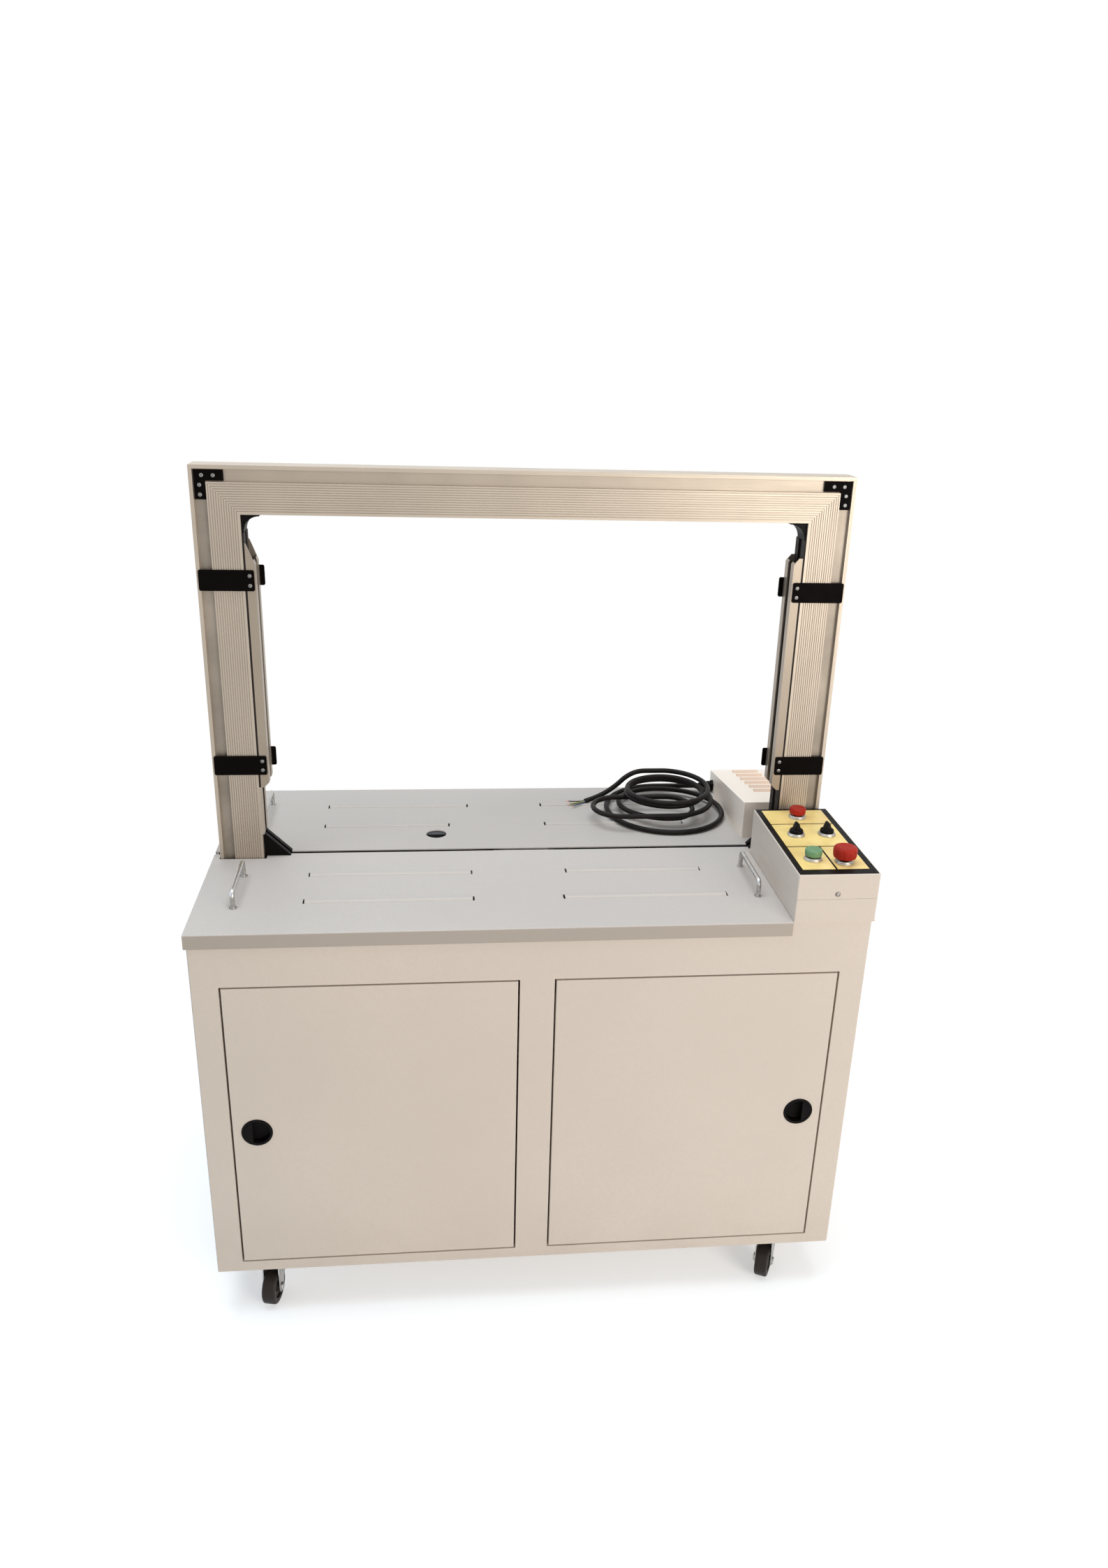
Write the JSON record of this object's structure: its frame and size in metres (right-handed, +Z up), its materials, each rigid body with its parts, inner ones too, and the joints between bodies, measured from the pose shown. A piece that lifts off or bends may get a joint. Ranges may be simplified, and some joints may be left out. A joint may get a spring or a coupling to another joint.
{
  "type": "strapping machine",
  "caption": "Arch strapping machine: wheeled cabinet with doors, table top with a strap slit, strap track arch, control box, vent cover and a mains cord coiled on the table.",
  "frame": {"origin": "on the floor under the middle of the machine; the strap slit is over y = 0", "axes": "+X to the right seen from the front, +Y to the back, +Z up"},
  "size_m": [1.115, 0.64, 1.441],
  "materials": {
    "cabinet_paint": "warm off-white semi-gloss powder coat",
    "table_paint": "light blue-grey semi-gloss paint",
    "support_paint": "grey painted steel",
    "arch_aluminium": "anodised, fine ribs",
    "rail_aluminium": "anodised angle",
    "gate_plastic": "flexible strips",
    "black_steel": "black painted flat steel",
    "black_plastic": "moulded, satin",
    "panel_yellow": "yellow panel film",
    "bezel_metal": "plated collars",
    "red_plastic": "red button",
    "green_plastic": "green button",
    "handle_chrome": "bright plated wire",
    "zinc_steel": "zinc plated",
    "wheel_plastic": "moulded caster wheel",
    "roller_rubber": "ground rubber",
    "reel_plastic": "pressed flanges, painted",
    "motor_cast": "cast housings",
    "cord_rubber": "black round mains cord"
  },
  "bodies": {
    "cabinet": {"front_frame": "cabinet_paint", "rear_panel": "cabinet_paint", "left_side_panel": "cabinet_paint", "right_side_panel": "cabinet_paint", "floor_panel": "cabinet_paint", "table_support_frame": "support_paint", "door_fittings": "zinc_steel", "rear_table_plate": "table_paint", "rear_table_handle": "handle_chrome", "arch_left_post": "arch_aluminium", "arch_right_post": "arch_aluminium", "arch_top_beam": "arch_aluminium", "strap_gates": "gate_plastic", "corner_brackets": "black_steel", "corner_guides": "black_plastic", "guard_rails": "rail_aluminium", "rail_clamps": "black_steel", "arch_screws": "zinc_steel", "control_housing": "cabinet_paint", "control_cover": "cabinet_paint", "panel_frame": "black_plastic", "panel_fields": "panel_yellow", "button_bezels": "bezel_metal", "vent_cover": "cabinet_paint", "caster_plates": "zinc_steel", "reel_spindle": "zinc_steel", "head_frame": "support_paint", "drive_motors": "motor_cast", "electrical_gear": "motor_cast", "cord_gland": "black_plastic", "power_cord_coil": "cord_rubber", "power_cord_tail": "cord_rubber"},
    "left_door": {"left_door": "cabinet_paint", "left_door_pull": "black_plastic"},
    "right_door": {"right_door": "cabinet_paint", "right_door_pull": "black_plastic"},
    "front_table": {"front_table_plate": "table_paint", "front_table_handles": "handle_chrome"},
    "red_button": {"red_button": "red_plastic"},
    "green_button": {"green_button": "green_plastic"},
    "estop_stem": {"estop_stem": "black_plastic"},
    "estop_head": {"estop_head": "red_plastic"},
    "left_selector": {"left_selector": "black_plastic"},
    "right_selector": {"right_selector": "black_plastic"},
    "front_left_caster": {"front_left_caster_fork": "zinc_steel"},
    "front_left_wheel": {"front_left_caster_wheel": "wheel_plastic"},
    "front_right_caster": {"front_right_caster_fork": "zinc_steel"},
    "front_right_wheel": {"front_right_caster_wheel": "wheel_plastic"},
    "rear_left_caster": {"rear_left_caster_fork": "zinc_steel"},
    "rear_left_wheel": {"rear_left_caster_wheel": "wheel_plastic"},
    "rear_right_caster": {"rear_right_caster_fork": "zinc_steel"},
    "rear_right_wheel": {"rear_right_caster_wheel": "wheel_plastic"},
    "strap_reel": {"strap_reel": "reel_plastic"},
    "slide_plate": {"slide_plate": "zinc_steel"},
    "left_gripper": {"left_gripper": "zinc_steel"},
    "press_head": {"press_head": "zinc_steel"},
    "right_gripper": {"right_gripper": "zinc_steel"},
    "camshaft": {"camshaft": "zinc_steel"},
    "feed_roller": {"feed_roller": "zinc_steel"},
    "pinch_roller": {"pinch_roller": "roller_rubber"}
  },
  "joints": [
    {"name": "left_door_hinge", "type": "hinge", "parent": "cabinet", "child": "left_door", "pos_m": [-0.0415, -0.3095, 0.12], "axis": [0, 0, 1], "range_deg": [0, 90]},
    {"name": "right_door_hinge", "type": "hinge", "parent": "cabinet", "child": "right_door", "pos_m": [0.0415, -0.3095, 0.12], "axis": [0, 0, -1], "range_deg": [0, 90]},
    {"name": "front_table_lift", "type": "slide", "parent": "cabinet", "child": "front_table", "axis": [0, 0, 1], "range_m": [0, 0.12]},
    {"name": "red_button_push", "type": "slide", "parent": "cabinet", "child": "red_button", "axis": [0, 0, -1], "range_m": [0, 0.003], "stiffness_N_per_m": 400, "springref_m": -0.003},
    {"name": "green_button_push", "type": "slide", "parent": "cabinet", "child": "green_button", "axis": [0, 0, -1], "range_m": [0, 0.003], "stiffness_N_per_m": 400, "springref_m": -0.003},
    {"name": "estop_push", "type": "slide", "parent": "cabinet", "child": "estop_stem", "axis": [0, 0, -1], "range_m": [0, 0.004], "stiffness_N_per_m": 600, "springref_m": -0.004},
    {"name": "estop_twist", "type": "hinge", "parent": "estop_stem", "child": "estop_head", "pos_m": [0.51, -0.272, 0.87], "axis": [0, 0, -1], "range_deg": [0, 45], "stiffness_Nm_per_rad": 0.02},
    {"name": "left_selector_turn", "type": "hinge", "parent": "cabinet", "child": "left_selector", "pos_m": [0.463, -0.153, 0.857], "axis": [0, 0, 1], "range_deg": [-45, 45]},
    {"name": "right_selector_turn", "type": "hinge", "parent": "cabinet", "child": "right_selector", "pos_m": [0.518, -0.153, 0.857], "axis": [0, 0, 1], "range_deg": [-45, 45]},
    {"name": "front_left_swivel", "type": "hinge", "parent": "cabinet", "child": "front_left_caster", "pos_m": [-0.46, -0.2595, 0.09], "axis": [0, 0, 1], "continuous": true},
    {"name": "front_left_roll", "type": "hinge", "parent": "front_left_caster", "child": "front_left_wheel", "pos_m": [-0.46541, -0.28493, 0.032], "axis": [0.9781, -0.2079, 0], "continuous": true},
    {"name": "front_right_swivel", "type": "hinge", "parent": "cabinet", "child": "front_right_caster", "pos_m": [0.46, -0.2595, 0.09], "axis": [0, 0, 1], "continuous": true},
    {"name": "front_right_roll", "type": "hinge", "parent": "front_right_caster", "child": "front_right_wheel", "pos_m": [0.4482, -0.28267, 0.032], "axis": [0.891, -0.454, 0], "continuous": true},
    {"name": "rear_left_swivel", "type": "hinge", "parent": "cabinet", "child": "rear_left_caster", "pos_m": [-0.46, 0.2595, 0.09], "axis": [0, 0, 1], "continuous": true},
    {"name": "rear_left_roll", "type": "hinge", "parent": "rear_left_caster", "child": "rear_left_wheel", "pos_m": [-0.48443, 0.26839, 0.032], "axis": [-0.342, -0.9397, 0], "continuous": true},
    {"name": "rear_right_swivel", "type": "hinge", "parent": "cabinet", "child": "rear_right_caster", "pos_m": [0.46, 0.2595, 0.09], "axis": [0, 0, 1], "continuous": true},
    {"name": "rear_right_roll", "type": "hinge", "parent": "rear_right_caster", "child": "rear_right_wheel", "pos_m": [0.48443, 0.26839, 0.032], "axis": [-0.342, 0.9397, 0], "continuous": true},
    {"name": "reel_spin", "type": "hinge", "parent": "cabinet", "child": "strap_reel", "pos_m": [-0.34, 0, 0.305], "axis": [0, 1, 0], "continuous": true},
    {"name": "slide_plate_draw", "type": "slide", "parent": "cabinet", "child": "slide_plate", "axis": [0, 1, 0], "range_m": [0, 0.02]},
    {"name": "left_gripper_lift", "type": "slide", "parent": "cabinet", "child": "left_gripper", "axis": [0, 0, 1], "range_m": [0, 0.0025]},
    {"name": "press_head_lift", "type": "slide", "parent": "cabinet", "child": "press_head", "axis": [0, 0, 1], "range_m": [0, 0.0025]},
    {"name": "right_gripper_lift", "type": "slide", "parent": "cabinet", "child": "right_gripper", "axis": [0, 0, 1], "range_m": [0, 0.0025]},
    {"name": "camshaft_turn", "type": "hinge", "parent": "cabinet", "child": "camshaft", "pos_m": [0, 0, 0.655], "axis": [1, 0, 0], "continuous": true},
    {"name": "feed_turn", "type": "hinge", "parent": "cabinet", "child": "feed_roller", "pos_m": [-0.15, 0, 0.7], "axis": [0, 1, 0], "continuous": true},
    {"name": "pinch_turn", "type": "hinge", "parent": "cabinet", "child": "pinch_roller", "pos_m": [-0.15, 0, 0.7456], "axis": [0, 1, 0], "continuous": true}
  ],
  "couplings": [
    {"joint": "pinch_turn", "follows": "feed_turn", "ratio": -2}
  ]
}
